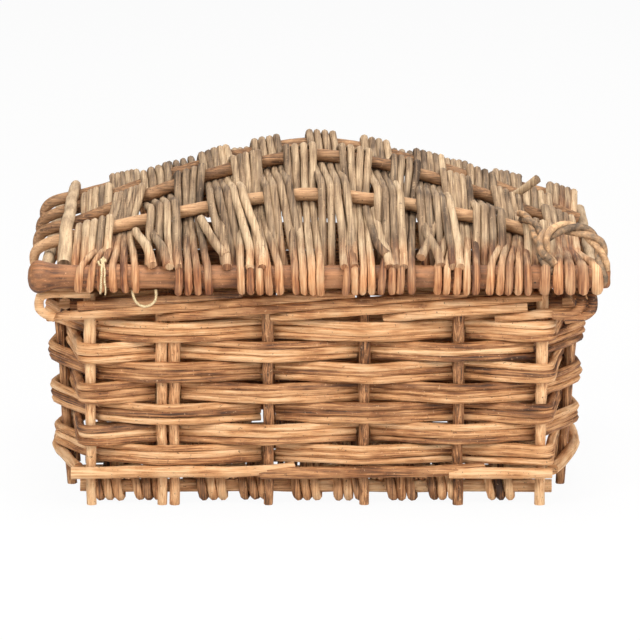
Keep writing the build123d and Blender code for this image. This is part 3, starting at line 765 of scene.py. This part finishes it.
# Hinges: two willow strands at each side come up behind the rear border,
# go over the lid's rear stick and down outside, and the stick turns in them.
HINGE_PLACE = 199.5
hinge_inner = front_plane(224.4)
RIM_ROD, HINGE_GAP, HINGE_ROD = 5.8, 0.3, 3.6
hinge_outer = front_plane(224.4) + BORDER_REACH + RIM_ROD + HINGE_GAP + HINGE_ROD
for name, side in (("left_hinge_loops", -1), ("right_hinge_loops", 1)):
    strands = []
    for shift in (-3.75, 3.75):
        turn = round_turn(200, LID_HEIGHT, 9 + 0.4 + 3.3, 135, -45)
        route = [
            (hinge_inner, 195),
            (hinge_inner, 224),
            *turn,
            (hinge_outer, 212.6),
            (hinge_outer, 195),
        ]
        places = [
            (side * HINGE_PLACE + shift + chance.uniform(-0.25, 0.25), y, z) for y, z in route
        ]
        strands.append((places, (3.4, 3.1)))
    strand_name = name.replace("hinge", "hinge_willow")
    strand = rods(strand_name, strands, [loop_willow, cut_willow], steps=6)
    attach(strand, "hamper")
    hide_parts(name)

# Lid sticks: a thick front stick with a flared butt at the left, a plain rear
# one, and four bowed sticks between them whose left ends curl down over a bar.
stick_willow = willow(
    "stick_willow",
    (paint(78, 50, 30), paint(132, 94, 60), paint(170, 127, 88), paint(204, 162, 120)),
    ALONG["x"],
    0.18,
)
LID_DEPTHS = (-200.0, -120.0, -40.0, 40.0, 120.0, 200.0)
BOW_RISES = (69.0, 95.0, 93.0, 69.0)
BOW_END_RISE = 22.0


def lid_stick(order, x):
    """Depth and height of one of the lid's six sticks at a place along it."""
    if order in (0, 5):
        return LID_DEPTHS[order], LID_HEIGHT
    rise = BOW_RISES[order - 1]
    return LID_DEPTHS[order], LID_HEIGHT + rise - (rise - BOW_END_RISE) * (abs(x) / 250) ** 1.5


worm_willow = willow(
    "worm_eaten_willow",
    (paint(84, 50, 28), paint(150, 98, 58), paint(186, 130, 86), paint(222, 170, 124)),
    (14.0, 260.0, 260.0),
    0.12,
    0.5,
    None,
    0.8,
)
worm_place = worm_willow.node("ShaderNodeTexCoord", {}, {}, "Object")
worm_cells = worm_willow.node(
    "ShaderNodeTexVoronoi", {}, {"Vector": worm_place, "Scale": 62.0, "Randomness": 1.0}
)
worm_holes = worm_willow.node(
    "ShaderNodeMapRange", {}, {"Value": worm_cells, "From Min": 0.075, "From Max": 0.055}
)
worm_base = Value(worm_willow, worm_willow.shader.inputs["Base Color"].links[0].from_socket)
worm_willow.feed(
    "Base Color",
    worm_willow.node(
        "ShaderNodeMix",
        {"data_type": "RGBA"},
        {0: worm_holes, 6: worm_base, 7: (*paint(42, 26, 16), 1)},
        2,
    ),
)
front_places = [-286.0, -285.6, -284, -281, -275, -267, -259, -250, -228]
front_radii = [2.0, 6.5, 11.5, 15.4, 17.4, 15.2, 12.9, 12.2, 11.9]
while front_places[-1] < 250:
    front_places.append(front_places[-1] + 26)
    front_radii.append(11.6 + chance.uniform(-0.35, 0.4))
front_places += [286.0, 291.4, 291.5]
front_radii += [11.6, 10.6, 7.0]
front_route = [
    (x, STICK_DEPTH, LID_HEIGHT + (chance.uniform(-0.5, 0.5) if abs(x) < 240 else 0))
    for x in front_places
]
front_stick = rods("front_stick", [(front_route, front_radii)], [worm_willow, cut_willow], sides=6)
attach(front_stick, "lid")
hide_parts("lid_front_stick")
rear_route = [(-262 + 524 * step / 9, 200, LID_HEIGHT) for step in range(10)]
rear_radii = [chance.uniform(7.9, 8.2) for place in rear_route]
rear_stick = rods("rear_stick", [(rear_route, rear_radii)], [stick_willow, cut_willow], sides=4)
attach(rear_stick, "lid")
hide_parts("lid_rear_stick")
CURL = ((-20.0, 3.0), (-30.5, 8.5), (-35.0, 18.0), (-33.0, 27.0))
for order in range(1, 5):
    right_end = 240 if order == 1 else 271
    bow = [(x, *lid_stick(order, x)) for x in range(-240, right_end, 30)]
    bow = [(x, y + chance.uniform(-0.6, 0.6), z + chance.uniform(-0.5, 0.5)) for x, y, z in bow]
    end_height = lid_stick(order, -250)[1]
    bend = [
        (-250 + out, LID_DEPTHS[order] + chance.uniform(-1, 1), end_height - down)
        for out, down in CURL
    ]
    radii = [4.2, 4.9, 5.6, 6.1] + [6.4 + chance.uniform(-0.3, 0.2) for place in bow]
    bowed = rods(
        "bowed_stick_" + str(order),
        [([*bend[::-1], *bow], radii)],
        [stick_willow, cut_willow],
        sides=4,
    )
    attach(bowed, "lid")
    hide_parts("lid_bowed_stick_" + str(order))

# Side bars: a grey rod under the bowed sticks near each end of the lid, and a
# thick one bent over them at the left, both cut off roughly.
bar_willow = willow("grey_bar_willow", GREY, (300.0, 26.0, 40.0), 0.3, 0.6, None, 1.1)
left_bar = [
    (-269 + chance.uniform(-0.8, 0.8), y, LID_HEIGHT + 3.9)
    for y in (-184, -120, -40, 40, 120, 190)
]
right_rise = lid_stick(2, 278)[1] - LID_HEIGHT - 12.5 / cos(radians(25))
right_bar = [
    (278 + chance.uniform(-0.6, 0.6), y, LID_HEIGHT + right_rise)
    for y in (-187, -120, -40, 40, 120, 190)
]
for name, node, route in (
    ("left_under_bar", "lid_left_side_bar", left_bar),
    ("right_under_bar", "lid_right_side_bar", right_bar),
):
    bar = rods(name, [(route, (6.2, 5.4))], [bar_willow, cut_willow], sides=4)
    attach(bar, "lid")
    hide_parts(node)


def off_stick(order, x, reach, along=0.0):
    """A place off a lid stick: reach outwards, and along the dome towards the rear."""
    before = lid_stick(max(order - 1, 0), x)
    here = lid_stick(order, x)
    after = lid_stick(min(order + 1, 5), x)
    run = (after[0] - before[0], after[1] - before[1])
    length = hypot(*run)
    return (
        here[0] - reach * run[1] / length + along * run[0] / length,
        here[1] + reach * run[0] / length + along * run[1] / length,
    )


over_bar = [(-251.0, -181.5, LID_HEIGHT + 8)]
for order in range(1, 5):
    for along in (-9, 9):
        over_bar.append((-251.0 + chance.uniform(-1, 1), *off_stick(order, -251, 12.9, along)))
over_bar.append((-251.0, 184.0, LID_HEIGHT + 8))
top_bar = rods("left_over_bar", [(over_bar, (6.9, 5.2))], [bar_willow, cut_willow], sides=4)
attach(top_bar, "lid")
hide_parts("lid_left_top_bar")

# Lid weavers: grey, weathered rods in groups, woven from front to rear. Every
# other group is bent round the front stick and shows brown there; the others come
# from the rear stick, and some of their cut ends stick out over the front one.
WRAP = (paint(96, 52, 28), paint(158, 100, 60), paint(204, 146, 98), paint(238, 196, 148))
weaver_willow = willow("grey_weaver_willow", GREY, ACROSS_LID, 0.3, 0.62, WRAP)
FRONT_GROUPS = (
    (-199.5, (11.2, -207, 6), (-199, 7.0), (-190, 7.0)),
    (-142.5, (10.0, -122, 4), (-128, 7.8), (-128, 7.4)),
    (-85.5, (9.2, -55, 5), (-66, 7.4), (-71, 7.2)),
    (-28.5, (8.6, -8, 4), (-14, 7.6), (-17, 7.9)),
    (28.5, (8.4, 43, 4), (40, 8.2), (40, 8.2)),
    (85.5, (9.3, 80, 4), (86, 7.6), (91, 7.2)),
    (142.5, (9.8, 140, 5), (146, 7.6), (142, 7.0)),
    (199.5, (9.4, 192, 5), (200, 7.6), (193, 7.2)),
    (256.5, (13.0, 253, 5), (250, 7.8), (246, 7.6)),
)
REAR_GROUPS = (
    (-228, (-222, 7.8, 5), (-224, 7.2), (-226, 7.6), 0),
    (-171, (-153, 7.6, 4), (-160, 7.2), (-152, 9.8), 2),
    (-114, (-89, 8.1, 5), (-96, 7.2), (-72, 8.8), 2),
    (-57, (-38, 7.5, 4), (-46, 7.2), (-25, 8.2), 0),
    (0, (18, 8.0, 4), (10, 7.4), (22, 9.6), 2),
    (57, (73, 7.6, 4), (64, 7.2), (74, 8.6), 3),
    (114, (120, 7.8, 5), (118, 7.2), (126, 8.4), 2),
    (171, (174, 8.2, 4), (170, 7.2), (172, 8.2), 0),
    (228, (224, 7.6, 4), (228, 7.2), (224, 7.6), 0),
)
LOOSE_ENDS = (
    (2, -181, -162, 22), (2, -167, -147, 24), (3, -115, -89, 8), (3, -96, -88, 26),
    (6, 50, 70, 6), (6, 58, 73, 25), (7, 104, 124, 24), (8, 120, 104, 10),
)
OVER = 10.1


def across_dome(route, orders, first_over, x_at, toward):
    """Carry a rod on over and under the bowed sticks, two places at each."""
    for place, order in enumerate(orders):
        over = place % 2 == (0 if first_over else 1)
        x = x_at(order)
        reach = OVER + chance.uniform(-0.1, 0.9) if over else -OVER - chance.uniform(-0.1, 0.5)
        width = 5.5 if over else 8.5
        for along in (-width * toward, width * toward):
            y, z = off_stick(order, x, reach, along)
            route.append((x + chance.uniform(-0.5, 0.5), y, z))


def front_group_rod(cad_x, wrap, under, over, order_in_group, last_short):
    """A rod that starts round the front stick and ends inside the rear one."""
    pitch, wrap_x, count = wrap
    place = order_in_group - (count - 1) / 2
    x_front = wrap_x + place * pitch + chance.uniform(-0.8, 0.8)
    x_under = under[0] + place * 6.3 * 4.4 / count + chance.uniform(-1.2, 1.2)
    x_over = over[0] + place * over[1] * 4.4 / count + chance.uniform(-0.6, 0.6)
    x_rear = cad_x + place * 7.2 * 4.2 / count
    xs = {1: x_under, 2: x_over, 3: (x_over + x_rear) / 2, 4: x_rear}
    thick = 5.9 if cad_x == 256.5 else chance.uniform(3.85, 4.2)
    outside = 16.6 if cad_x == -199.5 else 18.85
    turn = round_turn(STICK_DEPTH, LID_HEIGHT, outside - thick, 315, 90)
    lean = (x_under - x_front) * 0.12 + chance.uniform(-1.5, 1.5)
    route = [
        (x_front + lean * (index - 3) / 3, y, z) for index, (y, z) in enumerate(turn)
    ]
    across_dome(route, (1, 2, 3, 4), False, xs.get, 1)
    if last_short:
        route.append((x_rear, 174, LID_HEIGHT + 26))
    else:
        route.append((x_rear, 187, LID_HEIGHT + 5))
        route.append((x_rear, 185, LID_HEIGHT - 10.5))
    count_of_places = len(route)
    radii = [
        thick - (thick - 3.5) * index / count_of_places + chance.uniform(-0.12, 0.12)
        for index in range(count_of_places)
    ]
    return route, radii


def rear_group_rod(cad_x, over, under, end, order_in_group, peeks):
    """A rod that starts round the rear stick and ends at the front one."""
    count = over[2]
    place = order_in_group - (count - 1) / 2
    x_rear = cad_x + place * 7.2 * 4.2 / count
    x_over = over[0] + place * over[1] + chance.uniform(-0.8, 0.8)
    x_under = under[0] + place * under[1] * 4.4 / count + chance.uniform(-0.6, 0.6)
    x_end = end[0] + place * end[1] + chance.uniform(-2.0, 2.0)
    xs = {4: x_rear, 3: (x_under + x_rear) / 2, 2: x_under, 1: x_over}
    thick = chance.uniform(3.7, 4.1)
    turn = round_turn(-200, LID_HEIGHT, 15.8 - thick, 315, 90)
    route = [(x_rear, -y, z) for y, z in turn]
    across_dome(route, (4, 3, 2, 1), False, xs.get, -1)
    if peeks:
        rest = LID_HEIGHT + 16.2
        route.append((x_end, -178 + chance.uniform(-4, 4), rest + 9))
        route.append((x_end + chance.uniform(-1, 1), -204, rest + 1.5))
        route.append((x_end + chance.uniform(0, 2), -213 - chance.uniform(0, 1.6), rest - 4))
    else:
        route.append((x_end, -182.5, LID_HEIGHT + 4))
        route.append((x_end, -181.5, LID_HEIGHT - 2))
    count_of_places = len(route)
    radii = [
        thick * (0.92 + 0.19 * index / count_of_places) + chance.uniform(-0.12, 0.12)
        for index in range(count_of_places)
    ]
    return route, radii


for number, (front_group, rear_group) in enumerate(zip(FRONT_GROUPS, REAR_GROUPS), 1):
    group = []
    front_x, wrap, under, over = front_group
    for order in range(wrap[2]):
        short = abs(front_x) == HINGE_PLACE
        group.append(front_group_rod(front_x, wrap, under, over, order, short))
    rear_x, rear_over, rear_under, end, peeking = rear_group
    for order in range(rear_over[2]):
        peeks = order >= rear_over[2] - peeking
        group.append(rear_group_rod(rear_x, rear_over, rear_under, end, order, peeks))
    for owner, x_high, x_low, low in LOOSE_ENDS:
        if owner == number:
            loose = [(x_high, *off_stick(1, x_high, -4, -12))]
            loose.append((x_high + (x_low - x_high) * 0.45, -176, LID_HEIGHT + 31))
            loose.append((x_high + (x_low - x_high) * 0.85, -196, LID_HEIGHT + 25))
            loose.append((x_low, -197 - 0.62 * low, LID_HEIGHT + 25 - 0.5 * low))
            group.append((loose, (4.4, 5.0)))
    if number == 8:
        stub = [(200, -18, 292), (207, -34, 301), (216, -43, 309), (225, -49, 317)]
        group.append((stub, (4.2, 4.4)))
    weavers = rods("lid_rods_" + str(number), group, [weaver_willow, cut_willow])
    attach(weavers, "lid")
    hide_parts("lid_weavers_" + str(number))

# Handle: a rope of three twisted willow strands. It comes forward from the first
# bowed stick, stands in a loop and goes round the right end of the front stick.
handle_willow = willow(
    "handle_willow",
    (*GREY[:2], paint(162, 124, 88), paint(208, 168, 124)),
    (150.0, 150.0, 150.0),
    0.2,
)


def smooth_way(corners, steps):
    """Places on a smooth line through the corners."""
    line = [corners[0], *corners, corners[-1]]
    way = []
    for a, b, c, d in zip(line, line[1:], line[2:], line[3:]):
        for step in range(steps):
            t = step / steps
            way.append(
                tuple(
                    0.5 * (2 * q + (r - p) * t + (2 * p - 5 * q + 4 * r - s) * t * t
                           + (3 * q - p - 3 * r + s) * t * t * t)
                    for p, q, r, s in zip(a, b, c, d)
                )
            )
    return [*way, corners[-1]]


def twisted(way, reach, thick, turns, count=3):
    """Strands twisted round a line."""
    strands = []
    for strand in range(count):
        places = []
        for index, (x, y, z) in enumerate(way):
            before = way[max(index - 1, 0)]
            after = way[min(index + 1, len(way) - 1)]
            run = [b - a for a, b in zip(before, after)]
            flat = hypot(run[0], run[2]) or 1
            up = (-run[2] / flat, run[0] / flat)
            angle = 2 * pi * (strand / count + turns * index / len(way))
            places.append(
                (
                    x + reach * cos(angle) * up[0],
                    y + reach * sin(angle),
                    z + reach * cos(angle) * up[1],
                )
            )
        strands.append((places, (thick, thick * 0.92)))
    return strands


HANDLE_LOOP = (
    (233, -204, 250), (230, -205, 260), (224.5, -201, 272), (227, -196, 284), (239, -191, 291),
    (256, -189, 291.5), (271, -191, 286), (281, -196, 276), (284, -203, 262), (283.5, -207, 250),
    (282, -206, 240),
)
HANDLE_TAIL = (
    (206, -116, 290), (212, -134, 291), (218, -156, 287), (223, -178, 278), (229, -195, 268),
    (235, -205, 257),
)
handle_strands = twisted(smooth_way(HANDLE_LOOP, 5), 3.9, 3.8, 2.4)
handle_strands += twisted(smooth_way(HANDLE_TAIL, 5), 3.4, 3.5, 1.0, 2)
handle = rods("twisted_handle", handle_strands, [handle_willow, cut_willow], steps=2)
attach(handle, "lid")
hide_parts("lid_handle")

# Twine tie: a second end of raffia is knotted on top of the front stick, and its
# tail comes down in front of it.
tie_turn = round_turn(STICK_DEPTH, LID_HEIGHT, 17.6, 45, 270)
tie_route = [(-211.0 - 0.7 * index, y, z) for index, (y, z) in enumerate(tie_turn)]
knot_height = LID_HEIGHT + 15.5
knot = [
    (-214.0, -199.5, knot_height), (-212.5, -205.5, knot_height + 1.5),
    (-208.5, -205.0, knot_height), (-208.5, -200.0, knot_height + 2.0),
    (-212.0, -198.5, knot_height + 0.5),
    (-213.5, -203.0, knot_height + 2.5), (-209.5, -206.5, knot_height - 1.5),
    (-214.5, -208.5, knot_height - 3.0), (-216.0, -205.0, knot_height + 1.0),
]
tail = [
    (-210.5, -207.0, knot_height), (-209.0, -213.5, LID_HEIGHT + 9),
    (-209.5, -216.4, LID_HEIGHT - 2), (-208.0, -216.0, LID_HEIGHT - 10),
    (-209.0, -214.0, LID_HEIGHT - 16),
]
tie = rods(
    "twine_knot",
    [(tie_route, (1.2, 1.1)), (knot, (1.4, 1.3)), (tail, (1.2, 0.8))],
    [raffia],
    steps=5,
)
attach(tie, "lid")
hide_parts("twine_tie")
